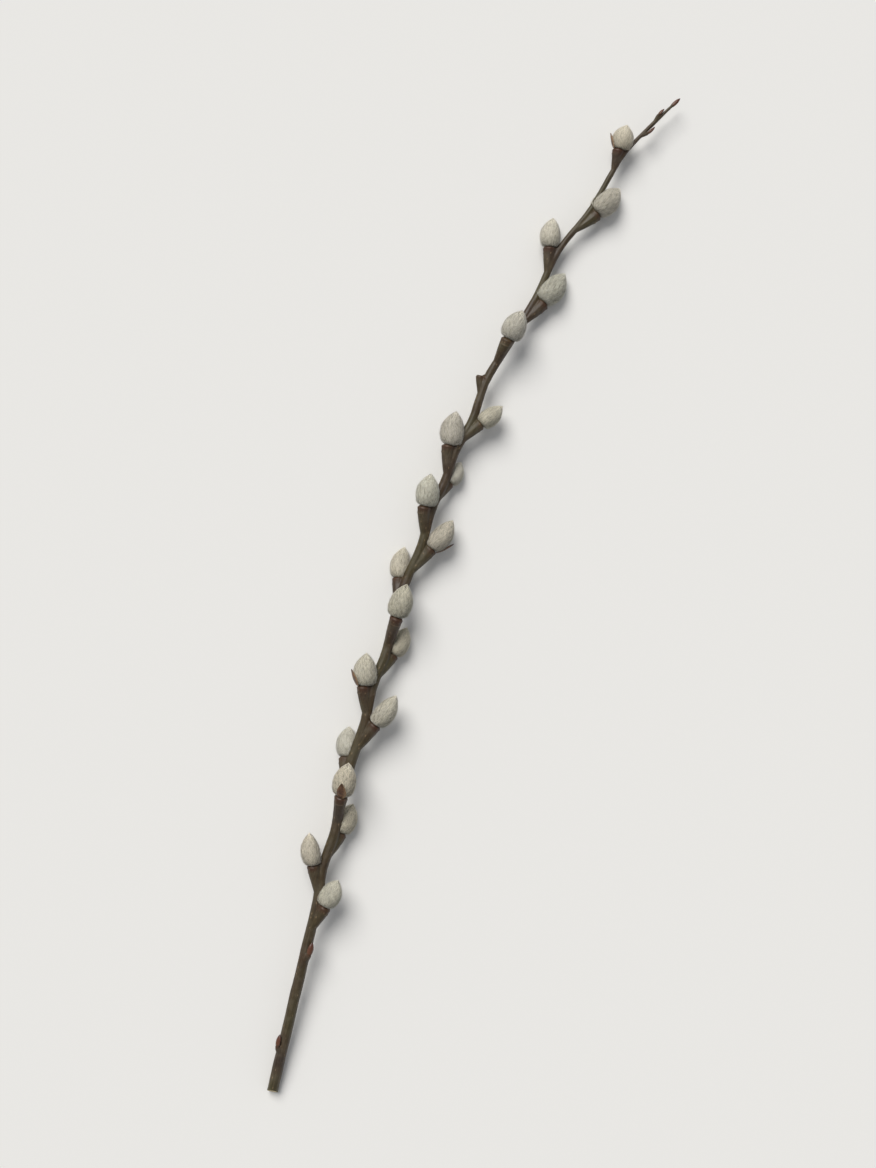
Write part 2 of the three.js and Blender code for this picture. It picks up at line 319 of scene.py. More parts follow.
straight = straightened(bark_points)
waves = swells_at(straight, (900, 70, 900))
bumps = swells_at(straight, (420, 300, 420), start=(0, 0, 9))
swells = swells_at(straight, (110, 75, 110), start=(4, 0, 0))
raised += BARK_WAVES * (0.6 * waves + 0.7 * bumps) + BARK_SWELLS * swells
put_corners(stem.data, bark_points + drawn_in + raised[:, None] * bark_normals)
write_attribute(stem.data, "straight", "FLOAT_VECTOR", straight)
write_attribute(stem.data, "collar", "FLOAT", collar_stain)
write_attribute(stem.data, "scar", "FLOAT", scar_mark)

# The scar left by the dropped catkin.
BARE_SPREAD = 2.6 * MM
BARE_DEPTH = 0.7 * MM

from_empty = bark_points - empty_top
on_top = bell(np.linalg.norm(from_empty, axis=1), BARE_SPREAD) * ((from_empty @ empty_axis) > -BARE_DEPTH)
write_attribute(stem.data, "bare_top", "FLOAT", on_top)

# The cut: sliced flat just inside the rounded end, closed, and given its ring of bark.
CUT_TRIM = 0.8 * MM
CUT_RINGS = (0.85, 0.9)  # each ring's size as a share of the one round it
CUT_FLATNESS = 0.02 * MM
CUT_SQUARENESS = 0.99

bpy.ops.object.mode_set(mode="EDIT")
bpy.ops.mesh.select_all(action="SELECT")
bpy.ops.mesh.bisect(
    plane_co=cut_middle - CUT_TRIM * cut_facing,
    plane_no=cut_facing,
    use_fill=True,
    clear_outer=True,
    threshold=0.01 * MM,
)
bpy.ops.object.mode_set(mode="OBJECT")
cut_middle = np.mean([v.co for v in stem.data.vertices if v.select], axis=0)
bpy.ops.object.mode_set(mode="EDIT")
for share in CUT_RINGS:
    bpy.ops.mesh.extrude_region()
    bpy.ops.transform.resize(value=(share, share, share), center_override=tuple(cut_middle))
bpy.ops.object.mode_set(mode="OBJECT")
stem_faces = stem.data.polygons
face_centres = np.array([face.center for face in stem_faces])
on_cut = np.abs((face_centres - cut_middle) @ cut_facing) < CUT_FLATNESS
on_cut &= np.array([face.normal.dot(Vector(cut_facing)) for face in stem_faces]) > CUT_SQUARENESS

# The bark is mapped in six strips that follow the stem, with the cut in a corner of its own.
STRIPS = 6
STRIP_START = 0.005
STRIP_LENGTH = 0.93
STRIP_WIDTH = 0.9
CUT_MAP_PLACE = (0.972, 0.03)
CUT_MAP_SCALE = 4.5  # how much of the map a metre of the cut takes


def unrolled(points):
    """Points on the bark as turns round the stem, and strips along it."""
    straight = straightened(points)
    turn = np.arctan2(straight[:, 2], straight[:, 0]) / (2 * math.pi)
    return turn, (points[:, 1] - cad_box[0].y) / (cad_box[1].y - cad_box[0].y) * STRIPS


bark_points = corners_of(stem.data)
corner = corners_in_faces(stem.data)
face = np.repeat(np.arange(len(stem_faces)), [face.loop_total for face in stem_faces])
turn, along = unrolled(bark_points)
face_turn, face_along = unrolled(face_centres)
strip = np.clip(np.floor(face_along), 0, STRIPS - 1)[face]
swing = turn[corner] - face_turn[face]
around = face_turn[face] + swing - np.round(swing) + 0.5
places = np.empty((len(corner), 2))
places[:, 0] = (along[corner] - strip) * STRIP_LENGTH + STRIP_START
places[:, 1] = (strip + (1 - STRIP_WIDTH) / 2 + around * STRIP_WIDTH) / STRIPS
cut_across = unit(np.cross(cut_facing, [0, 0, 1]))
cut_up = np.cross(cut_across, cut_facing)
in_cut = on_cut[face]
cut_offset = bark_points[corner[in_cut]] - cut_middle
places[in_cut] = CUT_MAP_PLACE + CUT_MAP_SCALE * cut_offset @ np.column_stack([cut_across, cut_up])
write_map(stem.data, places)


class Finish:
    """A material as it is made: its shader, and short ways to add the nodes that feed it."""

    def __init__(self, name):
        self.material = bpy.data.materials.new(name)
        self.material.use_nodes = True
        self.tree = self.material.node_tree

    def feed(self, node, inputs):
        """Fills in a node's inputs, each with a value or from another node's socket."""
        for socket, value in inputs.items():
            if isinstance(value, bpy.types.NodeSocket):
                self.tree.links.new(value, node.inputs[socket])
            else:
                node.inputs[socket].default_value = value

    def add(self, kind, inputs, output=0, **settings):
        """Adds a node and gives one of its outputs."""
        node = self.tree.nodes.new(kind)
        for setting, value in settings.items():
            setattr(node, setting, value)
        self.feed(node, inputs)
        return node.outputs[output]

    def place(self):
        return self.add("ShaderNodeTexCoord", {}, output="Object")

    def mark(self, name, output="Fac"):
        """What write_attribute stored under a name."""
        return self.add("ShaderNodeAttribute", {}, output=output, attribute_name=name)

    def stretch(self, place, scale):
        return self.add("ShaderNodeMapping", {"Vector": place, "Scale": scale})

    def clouds(self, place, scale, detail, roughness=0.5):
        inputs = {"Vector": place, "Scale": scale, "Detail": detail, "Roughness": roughness}
        return self.add("ShaderNodeTexNoise", inputs)

    def reckon(self, operation, first, second=0.0):
        return self.add("ShaderNodeMath", {0: first, 1: second}, operation=operation)

    def blend(self, share, first, second, mode="MIX"):
        """Mixes two colours, by a share that is a number or a socket."""
        inputs = {0: share, 6: first, 7: second}
        return self.add("ShaderNodeMix", inputs, output=2, data_type="RGBA", blend_type=mode)

    def ramp(self, share, stops):
        """Turns a share into a colour or a number by way of stops, each a place and a colour."""
        node = self.tree.nodes.new("ShaderNodeValToRGB")
        self.feed(node, {0: share})
        elements = node.color_ramp.elements
        while len(elements) < len(stops):
            elements.new(0.5)
        for element, (place, colour) in zip(elements, stops):
            element.position = place
            element.color = colour if hasattr(colour, "__len__") else (colour, colour, colour, 1)
        return node.outputs[0]

    def bump(self, height, depth, strength):
        return self.add("ShaderNodeBump", {"Height": height, "Distance": depth, "Strength": strength})

    def finished(self, inputs):
        """Fills in the shader's own inputs, and gives the material."""
        self.feed(self.tree.nodes["Principled BSDF"], inputs)
        return self.material


def bark_material():
    """Waxy bark: olive brown drifting to red and purple brown, streaked along the stem, with a grey bloom,
    pale lenticels, reddish collars and dry scars."""
    bark = Finish("willow_bark")
    place = bark.mark("straight", "Vector")
    zones = bark.clouds(place, 21.0, 3.0, 0.55)
    colour = bark.ramp(zones, [
        (0.30, srgb(70, 67, 43)),
        (0.44, srgb(72, 63, 41)),
        (0.56, srgb(67, 52, 36)),
        (0.70, srgb(56, 45, 40)),
    ])
    streaks = bark.clouds(bark.stretch(place, (1.0, 0.05, 1.0)), 1700.0, 8.0, 0.72)
    light_and_dark = bark.ramp(streaks, [(0.34, 0.50), (0.50, 0.92), (0.66, 1.45)])
    colour = bark.blend(0.85, colour, light_and_dark, "MULTIPLY")
    specks = bark.clouds(place, 2600.0, 3.0)
    colour = bark.blend(0.6, colour, bark.ramp(specks, [(0.36, 0.45), (0.46, 1.0)]), "MULTIPLY")
    bloom = bark.clouds(place, 130.0, 6.0, 0.65)
    colour = bark.blend(bark.ramp(bloom, [(0.46, 0.0), (0.70, 0.30)]), colour, srgb(108, 102, 86))
    cells = {"Vector": bark.stretch(place, (1.0, 0.42, 1.0)), "Scale": 420.0}
    lenticels = bark.ramp(bark.add("ShaderNodeTexVoronoi", cells), [(0.08, 0.65), (0.16, 0.0)])
    colour = bark.blend(lenticels, colour, srgb(146, 122, 92))
    collar = bark.ramp(bark.reckon("MULTIPLY", bark.mark("collar"), zones), [(0.10, 0.0), (0.60, 0.75)])
    colour = bark.blend(collar, colour, bark.blend(0.5, srgb(70, 43, 29), streaks, "OVERLAY"))
    scar = bark.ramp(bark.mark("scar"), [(0.30, 0.0), (0.85, 0.42)])
    colour = bark.blend(scar, colour, srgb(122, 104, 82))
    bare_top = bark.ramp(bark.mark("bare_top"), [(0.35, 0.0), (0.75, 0.9)])
    colour = bark.blend(bare_top, colour, srgb(150, 118, 84))
    return bark.finished({
        "Base Color": colour,
        "Roughness": bark.ramp(bloom, [(0.35, 0.38), (0.70, 0.62)]),
        "Specular IOR Level": 0.32,
        "Coat Weight": 0.05,
        "Coat Roughness": 0.3,
        "Normal": bark.bump(bark.reckon("ADD", streaks, lenticels), 0.12 * MM, 0.5),
    })


CUT_RADIUS = 4 * MM
RING_TURNS = 40.0  # of a sine, from the pith to the bark


def cut_wood_material():
    """The cut: pale wood with fine rings and rays, a brown pith, and a green-brown edge under the bark."""
    wood = Finish("cut_wood")
    place = wood.place()
    centred = wood.add("ShaderNodeVectorMath", {0: place, 1: tuple(cut_middle)}, operation="SUBTRACT")
    reach = wood.add("ShaderNodeVectorMath", {0: centred}, output="Value", operation="LENGTH")
    share = wood.reckon("DIVIDE", reach, CUT_RADIUS)
    colour = wood.ramp(share, [
        (0.08, srgb(120, 84, 52)),
        (0.15, srgb(190, 160, 112)),
        (0.45, srgb(216, 194, 148)),
        (0.78, srgb(206, 186, 140)),
        (0.90, srgb(128, 122, 76)),
    ])
    rings = wood.reckon("SINE", wood.reckon("MULTIPLY", share, RING_TURNS))
    colour = wood.blend(0.12, colour, wood.ramp(rings, [(0.0, 0.6), (1.0, 1.0)]), "MULTIPLY")
    fibres = wood.clouds(place, 3200.0, 4.0)
    colour = wood.blend(0.5, colour, wood.ramp(fibres, [(0.3, 0.8), (0.7, 1.15)]), "MULTIPLY")
    return wood.finished({
        "Base Color": colour,
        "Roughness": 0.75,
        "Normal": wood.bump(fibres, 0.1 * MM, 0.4),
    })


stem.data.materials.append(bark_material())
stem.data.materials.append(cut_wood_material())
stem.data.polygons.foreach_set("material_index", on_cut.astype(np.int32))
bpy.ops.object.shade_smooth_by_angle(angle=math.radians(40))
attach(stem, "root")
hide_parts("stem")

stem_surface = surface_of(stem.data)
RAY_RUN = 5 * MM


def clear_of_stem(points, out, gap):
    """Lifts points that lie in the stem, or nearer to it than the gap, straight out to the gap."""
    moved = points.copy()
    for i, point in enumerate(points):
        place, _, _, _ = stem_surface.ray_cast(Vector(point + RAY_RUN * out), Vector(-out), RAY_RUN + gap)
        if place is not None:
            moved[i] = np.array(place) + gap * out
    return moved


# BUDS. Closed leaf buds pressed against the stem, and the end bud, which sheathes the stem's end. Each is
# wrapped in one glossy cap-like scale with a blunt beak and a seam down each side. Made from a sphere drawn
# out along the bud's axis.
BUD_WIDEST = 0.34
BUD_TIP = 0.97  # where its tip is, as a share of the CAD bud's length
BUD_GAP = 0.05 * MM
CLEAR_FROM = 0.3  # above this share of its length it's kept clear of the stem
SEAM_HEIGHT = 0.08  # as a share of the half width
SEAM_SPREAD = 0.05
SIDE_BUD = {
    "foot": 0.72,  # the foot's width as a share of the widest
    "sink": 0.09,  # how far the foot goes down into its seat, as a share of the length
    "beak": 0.12,  # how far the beak bends in to the stem, as a share of the length
}
END_BUD = {"foot": 0.9, "sink": 0.2, "beak": 0.0}


def bud_outline(share, foot):
    """A bud's half width at a share of its length, as a share of its widest, from its foot's width."""
    low = 1 - np.clip(1 - share / BUD_WIDEST, 0, 1) ** 2
    high = np.cos(0.5 * math.pi * np.clip((share - BUD_WIDEST) / (1 - BUD_WIDEST), 0, 1) ** 1.3)
    closed = np.sqrt(np.clip(1 - (2 * share - 1) ** 16, 0, 1))
    return np.where(share < BUD_WIDEST, foot + (1 - foot) * low, high**0.8) * closed


def drawn_sphere(name, segments, rings):
    """A new sphere, and each corner's share of the way from pole to pole and its turn round the axis."""
    bpy.ops.object.select_all(action="DESELECT")
    bpy.ops.mesh.primitive_uv_sphere_add(segments=segments, ring_count=rings, radius=1)
    piece = bpy.context.active_object
    piece.name = name
    piece.data.name = name
    piece.data.uv_layers[0].name = "OFBake"
    corners = corners_of(piece.data)
    return piece, (corners[:, 2] + 1) / 2, np.arctan2(corners[:, 1], corners[:, 0])


def bud_material():
    skin = Finish("bud_skin")
    colour = skin.ramp(skin.mark("tipward"), [
        (0.0, srgb(76, 58, 40)),
        (0.25, srgb(94, 60, 40)),
        (0.75, srgb(84, 46, 32)),
        (1.0, srgb(52, 34, 27)),
    ])
    mottle = skin.clouds(skin.place(), 900.0, 5.0, 0.6)
    light_and_dark = skin.ramp(mottle, [(0.3, 0.65), (0.5, 1.0), (0.7, 1.3)])
    return skin.finished({
        "Base Color": skin.blend(0.7, colour, light_and_dark, "MULTIPLY"),
        "Roughness": skin.ramp(mottle, [(0.3, 0.3), (0.7, 0.5)]),
        "Specular IOR Level": 0.4,
        "Coat Weight": 0.12,
        "Normal": skin.bump(mottle, 0.1 * MM, 0.35),
    })


bud_skin = bud_material()
for node in bud_nodes:
    seat = seats[node]
    bud = END_BUD if node == "end_bud" else SIDE_BUD
    piece, share, turn = drawn_sphere("closed_" + node, segments=28, rings=24)
    reach = bud_outline(share, bud["foot"])
    seam = bell(np.abs(np.cos(turn)) - 1, SEAM_SPREAD) * np.sin(math.pi * share) * SEAM_HEIGHT
    depth = min(seat["half_depth"], seat["half_width"])
    bend = -bud["beak"] * seat["length"] * share**2
    along = (BUD_TIP + bud["sink"]) * share - bud["sink"]
    points = seat["foot"] + seat["length"] * along[:, None] * seat["axis"]
    points += (seat["half_width"] * reach * (1 + seam) * np.cos(turn))[:, None] * seat["across"]
    points += (depth * reach * np.sin(turn) + bend)[:, None] * seat["out"]
    if node != "end_bud":
        lifted = clear_of_stem(points, seat["out"], BUD_GAP)
        points = np.where((share > CLEAR_FROM)[:, None], lifted, points)
    put_corners(piece.data, points)
    write_attribute(piece.data, "tipward", "FLOAT", share)
    piece.data.materials.append(bud_skin)
    bpy.ops.object.shade_smooth()
    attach(piece, "root")
    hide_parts(node)


# DRY BUD SCALES. Four catkins still carry the brown cap that wrapped them in winter: a thin boat-shaped
# shell, curled and crinkled, glossy outside. Made from the CAD shells, rebuilt finely and crumpled a little.
SCALE_VOXEL = 0.2 * MM
SCALE_SMOOTHING = 5
CRUMPLE = 0.22 * MM
CRUMPLES = 350  # to the metre
SCALE_POINT = 0.72  # how much narrower a scale is at its point
SCALE_CURL = 1.3 * MM
EDGE_CURL = 0.1  # how much its edges stand out, as a share of their way from its middle
SCALE_ROOT = 1.7 * MM  # how far its base reaches down to the collar
SCALE_HUG = 1.5 * MM  # and in to it


def dry_scale_material():
    dry = Finish("dry_scale")
    place = dry.place()
    mottle = dry.clouds(place, 420.0, 6.0, 0.6)
    colour = dry.ramp(mottle, [
        (0.32, srgb(56, 36, 24)),
        (0.50, srgb(88, 58, 38)),
        (0.66, srgb(122, 88, 58)),
    ])
    edge = dry.ramp(dry.mark("edge"), [(0.55, 0.0), (1.0, 0.7)])
    colour = dry.blend(edge, colour, srgb(158, 128, 92))
    point = dry.ramp(dry.mark("tipward"), [(0.7, 0.0), (1.0, 0.75)])
    colour = dry.blend(point, colour, srgb(44, 28, 20))
    veins = dry.clouds(dry.stretch(place, (1.0, 0.12, 1.0)), 2400.0, 4.0)
    return dry.finished({
        "Base Color": dry.blend(0.6, colour, dry.ramp(veins, [(0.3, 0.6), (0.6, 1.1)]), "MULTIPLY"),
        "Roughness": dry.ramp(mottle, [(0.3, 0.32), (0.7, 0.55)]),
        "Normal": dry.bump(veins, 0.12 * MM, 0.6),
    })


dry_scale = dry_scale_material()
scale_surfaces = {}
for node in scale_nodes:
    catkin = node.replace("bud_scale", "catkin")
    seat = seats[catkin]
    piece = fresh_copy(node, "dry_" + node)
    rebuild(piece, SCALE_VOXEL, SCALE_SMOOTHING)
    points = corners_of(piece.data)
    points += CRUMPLE * swells_at(points, CRUMPLES)[:, None] * normals_of(piece.data)
    offset = points - seat["foot"]
    share = offset @ seat["axis"]
    share = (share - share.min()) / (share.max() - share.min())
    beside = offset @ seat["across"]
    points -= (SCALE_POINT * share**1.6 * beside)[:, None] * seat["across"]
    points += (SCALE_CURL * share**2.5 + EDGE_CURL * np.abs(beside) * share)[:, None] * seat["out"]
    points -= (SCALE_ROOT * (1 - share) ** 2)[:, None] * seat["axis"]
    points -= (SCALE_HUG * (1 - share) ** 3)[:, None] * seat["out"]
    put_corners(piece.data, points)
    outline = np.sqrt(np.clip(1 - (2 * share - 1) ** 2, 0.04, 1)) * np.abs(beside).max()
    write_attribute(piece.data, "tipward", "FLOAT", share)
    write_attribute(piece.data, "edge", "FLOAT", np.abs(beside) / outline)
    piece.data.materials.append(dry_scale)
    bpy.ops.object.shade_smooth()
    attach(piece, "root")
    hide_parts(node)
    scale_surfaces[catkin] = surface_of(piece.data)


# CATKINS. Each is a teardrop spike of small overlapping bracts, set in spirals, and every bract has its tuft
# of silk. The spike is a sphere drawn out along the catkin's axis and raised at the bracts. The silk is a
# piece of its own: ribbons, each of two faces, that lie towards the tip.
SILK_DEPTH = 0.15 * MM  # how far the silk stands off the spike
TIP_SILK = 0.9 * MM
FOOT_SINK = 0.7 * MM  # the spike starts this far down in its collar
IN_COLLAR = 0.06  # and is inside it up to this share of its length
WIDEST = 0.37
BOW = 0.035  # how far a catkin arches away from the stem, as a share of its length
BRACTS = 100
BRACTS_FROM, BRACTS_TO = 0.01, 0.97
ROUNDNESS = 0.3  # a catkin's half width as a share of its length
FOOT_CROWDING = 1.0  # how much closer the bracts stand at the foot
CROWDED_OVER = 0.06  # of the length
BRACT_REACH = 1.5 * MM
BRACT_HEIGHT = 0.3 * MM
SMOOTH_FOOT = 0.16  # the bracts are flatter than that below this share of the length
GOLDEN_TURN = math.pi * (3 - math.sqrt(5))
SPIKE_GAP = 0.2 * MM
FLOOR_GAP = 0.1 * MM


def catkin_outline(share):
    """A catkin's half width at a share of its length, as a share of its widest."""
    low = 1 - np.clip(1 - share / WIDEST, 0, 1) ** 2.2
    high = np.cos(0.5 * math.pi * np.clip((share - WIDEST) / (1 - WIDEST), 0, 1) ** 1.15)
    return np.where(share < WIDEST, low**0.36, high**0.8)


def on_spike(seat, share, turn):
    """Points on a catkin's spike, by share of its length and turn round its axis."""
    reach = catkin_outline(share)
    length = seat["length"] - TIP_SILK + FOOT_SINK
    points = seat["foot"] + (length * share - FOOT_SINK)[:, None] * seat["axis"]
    points = points + ((seat["half_width"] - SILK_DEPTH) * reach * np.cos(turn))[:, None] * seat["across"]
    lift = (seat["half_depth"] - SILK_DEPTH) * reach * np.sin(turn) + BOW * length * np.sin(math.pi * share)
    return points + lift[:, None] * seat["out"]


def spike_frame(seat, share, turn):
    """The points, the way towards the tip and the way out of the surface, at places on a spike."""
    step = 0.002
    tipward = unit(on_spike(seat, share + step, turn) - on_spike(seat, share - step, turn))
    sideways = unit(on_spike(seat, share, turn + step) - on_spike(seat, share, turn - step))
    return on_spike(seat, share, turn), tipward, unit(np.cross(sideways, tipward))


def bract_places():
    """Shares and turns of the bracts: even over the surface, each a golden turn from the last."""
    share = np.linspace(BRACTS_FROM, BRACTS_TO, 400)
    slope = np.gradient(catkin_outline(share), share)
    crowding = 1 + FOOT_CROWDING * bell(share, CROWDED_OVER)
    area = np.cumsum(catkin_outline(share) * np.hypot(1, ROUNDNESS * slope) * crowding)
    wanted = (np.arange(BRACTS) + 0.5) / BRACTS * area[-1]
    return np.interp(wanted, area, share), np.arange(BRACTS) * GOLDEN_TURN


def spike_material():
    spike = Finish("catkin_spike")
    # darker between the bracts and on the flat foot than on the bracts: painted shade in the hollows of the
    # spike
    colour = spike.ramp(spike.mark("bract"), [
        (0.0, srgb(104, 96, 80)),
        (0.55, srgb(150, 144, 124)),
        (1.0, srgb(172, 166, 146)),
    ])
    light_and_dark = spike.ramp(spike.clouds(spike.place(), 700.0, 4.0), [(0.3, 0.8), (0.7, 1.15)])
    return spike.finished({
        "Base Color": spike.blend(0.6, colour, light_and_dark, "MULTIPLY"),
        "Roughness": 0.85,
        "Sheen Weight": 0.3,
    })


def make_spike(node, seat, bract_centres):
    """The spike, raised at its bracts, and above its collar kept clear of the stem."""
    spike, share, turn = drawn_sphere(node + "_spike", segments=44, rings=40)
    points = on_spike(seat, share, turn)
    distance = np.linalg.norm(points[:, None] - bract_centres[None], axis=2).min(axis=1)
    bract = np.clip(1 - (distance / BRACT_REACH) ** 2, 0, 1) * np.clip(share / SMOOTH_FOOT, 0, 1)
    put_corners(spike.data, points)
    points = points + BRACT_HEIGHT * bract[:, None] * normals_of(spike.data)
    lifted = clear_of_stem(points, seat["out"], SPIKE_GAP)
    points = np.where((share > IN_COLLAR)[:, None], lifted, points)
    points[:, 2] = points[:, 2].clip(FLOOR_GAP)
    put_corners(spike.data, points)
    # the raise at each bract, which the spike's material also reads for painted shade between the bracts
    write_attribute(spike.data, "bract", "FLOAT", bract)
    bpy.ops.object.shade_smooth()
    return spike


# The silk. Its shares are of the catkin's length, from its foot, unless they say otherwise.
HAIRS_PER_BRACT = 80
HAIR_LENGTH = 3.3 * MM
HAIR_WIDTH = 0.12 * MM
KNEE_WIDTH = 0.8  # a hair's width at its middle, as a share of its width at the root
TUFT_SPREAD = 0.95 * MM
ROOTS_FROM, ROOTS_TO = 0.015, 0.975
NARROWEST = 1.2 * MM  # nearer to the axis than this, a tuft spreads as if it were this far out
FOOT_LEAN = -0.3  # how much the hairs lean along the axis at the foot
FREE_LEAN = 0.65  # and from FREE_FROM up
LEAN_LOST = 0.6  # less so much of it, all the way to the tip
FREE_FROM = 0.14
RIM_LEAN = 0.3  # how much more the lowest hairs lean, to come out of the collar
RIM_LEAN_TO = 0.07
LIFT_DEGREES = (8, 24)  # how far the hairs stand off the spike
LIFT_LOST = 0.55  # less so much of it, all the way to the tip
LOWEST_LIFT = 0.45  # and only so much of it in the collar
FULL_LIFT_FROM = 0.08
STRAYS = 0.07  # the share of hairs that stand up more
STRAY_DEGREES = 16
LENGTHS = (0.65, 1.1)  # the shortest and the longest, as a share of HAIR_LENGTH
LENGTH_LOST = 0.45  # less so much of it, all the way to the tip
WIDTHS = (0.7, 1.2)
BEND_OUT, BEND_BACK = 0.12, 0.16  # how a hair bends, in radians, below its middle and above it
GATHER = 0.12  # how much a hair's upper half turns to the middle of its tuft, for each mm that it's off it
ROLL = 0.9  # how far a ribbon can be turned on its side, in radians
SILK_GAP = 0.1 * MM
ROOT_PUSH, MOST_PUSH = 0.8 * MM, 1.6 * MM  # hairs that the stem pushes further than this don't grow
RIM_GAP = 0.15 * MM
CATKIN_TINTS, TUFT_TINTS, HAIR_TINTS = (0.92, 1.04), (0.88, 1.06), (0.9, 1.08)  # how dark, and how light
NORMAL_LEAN = 0.3  # how far a hair's shading normal leans along it, from straight out of the spike
SWAY = 0.16  # and how far it strays


def silk_material():
    """Silk: grey at the root and nearly white at the point, with a soft sheen. The grey root is partly the
    dark undertone of the bracts and partly painted shade deep in the silk.
    """
    silk = Finish("catkin_silk")
    # grey at the root, partly painted shade deep in the silk, to near white at the point
    colour = silk.ramp(silk.mark("hair"), [
        (0.0, srgb(150, 143, 125)),
        (0.45, srgb(210, 203, 187)),
        (1.0, srgb(243, 239, 227)),
    ])
    return silk.finished({
        "Base Color": silk.blend(1.0, colour, silk.mark("tint", "Color"), "MULTIPLY"),
        "Roughness": 0.62,
        "Sheen Weight": 0.35,
        "Sheen Roughness": 0.4,
        "Specular IOR Level": 0.35,
    })


def clear_of_scale(roots, knees, tips, scale):
    """True for each hair that doesn't pass through a dry scale."""
    clear = np.ones(len(roots), bool)
    for starts, ends in ((roots, knees), (knees, tips)):
        for i, (start, end) in enumerate(zip(starts, ends)):
            run = Vector(end - start)
            clear[i] &= scale.ray_cast(Vector(start), run, run.length)[0] is None
    return clear


def grow_hairs(node, seat, bract_centres, chance):
    """A catkin's hairs: the five corners of each, its tuft, its root's share of the length, the way out of
    the spike at its root, and the way it sets off."""
    hairs = BRACTS * HAIRS_PER_BRACT
    tuft = np.repeat(np.arange(BRACTS), HAIRS_PER_BRACT)
    radius = (seat["half_width"] - SILK_DEPTH) * catkin_outline(bract_share[tuft])
    stray = chance.normal(0, TUFT_SPREAD, (hairs, 2))
    share = bract_share[tuft] + stray[:, 0] / seat["length"]
    share = np.where(share < ROOTS_FROM, 2 * ROOTS_FROM - share, share)
    share = np.where(share > ROOTS_TO, 2 * ROOTS_TO - share, share)
    turn = bract_turn[tuft] + stray[:, 1] / np.maximum(radius, NARROWEST)
    roots, tipward, outward = spike_frame(seat, share, turn)

    # The way it lies, how far it stands off, and its length.
    free = np.clip(share / FREE_FROM, 0, 1)
    lean = FOOT_LEAN + free * (FREE_LEAN - FOOT_LEAN - LEAN_LOST * share)
    lean += RIM_LEAN * np.clip(1 - share / RIM_LEAN_TO, 0, 1)
    lie = unit(tipward + lean[:, None] * seat["axis"])
    lift = np.radians(chance.uniform(*LIFT_DEGREES, hairs))
    lift = np.where(chance.random(hairs) < STRAYS, lift + math.radians(STRAY_DEGREES), lift)
    lift *= (1 - LIFT_LOST * share) * np.clip(share / FULL_LIFT_FROM, LOWEST_LIFT, 1)
    length = HAIR_LENGTH * chance.uniform(*LENGTHS, hairs) * (1 - LENGTH_LOST * share**2)
    gather = bract_centres[tuft] - roots
    gather -= (gather * tipward).sum(1)[:, None] * tipward
    first = unit(lie + np.tan(lift + BEND_OUT)[:, None] * outward)
    second = unit(lie + np.tan(lift - BEND_BACK)[:, None] * outward + GATHER * gather / MM)
    knees = roots + 0.5 * length[:, None] * first
    tips = knees + 0.5 * length[:, None] * second

    # The ribbon: wide at the root and the knee, and drawn to a point.
    roll = chance.uniform(-ROLL, ROLL, hairs)[:, None]
    flat = unit(np.cross(first, outward))
    rise = unit(np.cross(flat, first))
    ribbon = np.cos(roll) * flat + np.sin(roll) * rise
    half = 0.5 * HAIR_WIDTH * chance.uniform(*WIDTHS, hairs)[:, None] * ribbon
    knee_half = KNEE_WIDTH * half
    corners = np.stack([roots - half, roots + half, knees + knee_half, knees - knee_half, tips], axis=1)

    # Hairs that would go through the stem, the collar or a dry scale don't grow.
    cleared = clear_of_stem(corners.reshape(-1, 3), seat["out"], SILK_GAP).reshape(-1, 5, 3)
    pushed = np.linalg.norm(cleared - corners, axis=2)
    in_collar = share < IN_COLLAR
    above_rim = (knees - seat["foot"]) @ seat["axis"] > RIM_GAP
    grown = (pushed[:, 0] < ROOT_PUSH) & (pushed.max(axis=1) < MOST_PUSH)
    grown = np.where(in_collar, above_rim, grown)
    if node in scale_surfaces:
        grown &= clear_of_scale(roots, knees, tips, scale_surfaces[node])
    corners = np.where(in_collar[:, None, None], corners, cleared)[grown]
    corners[:, :, 2] = corners[:, :, 2].clip(FLOOR_GAP)
    return corners, tuft[grown], share[grown], outward[grown], first[grown]


def make_silk(name, corners):
    """The ribbons as one piece, a quad and a triangle each. Each has a cell of its own on the map, rooted at
    the cell's foot."""
    hairs = len(corners)
    first_corner = 5 * np.arange(hairs)[:, None]
    faces = (first_corner + [0, 1, 2, 3]).tolist() + (first_corner + [3, 2, 4]).tolist()
    mesh = bpy.data.meshes.new(name)
    mesh.from_pydata(corners.reshape(-1, 3), [], faces)
    mesh.polygons.foreach_set("use_smooth", np.ones(len(mesh.polygons), bool))
    silk = bpy.data.objects.new(name, mesh)
    bpy.context.scene.collection.objects.link(silk)
    cells = math.ceil(math.sqrt(BRACTS * HAIRS_PER_BRACT))
    row, column = np.divmod(np.arange(hairs)[:, None], cells)
    across = (column + [0.1, 0.9, 0.9, 0.1, 0.5]) / cells
    up = (row + [0.06, 0.06, 0.5, 0.5, 0.94]) / cells
    write_map(mesh, np.stack([across, up], axis=2).reshape(-1, 2)[corners_in_faces(mesh)])
    return silk


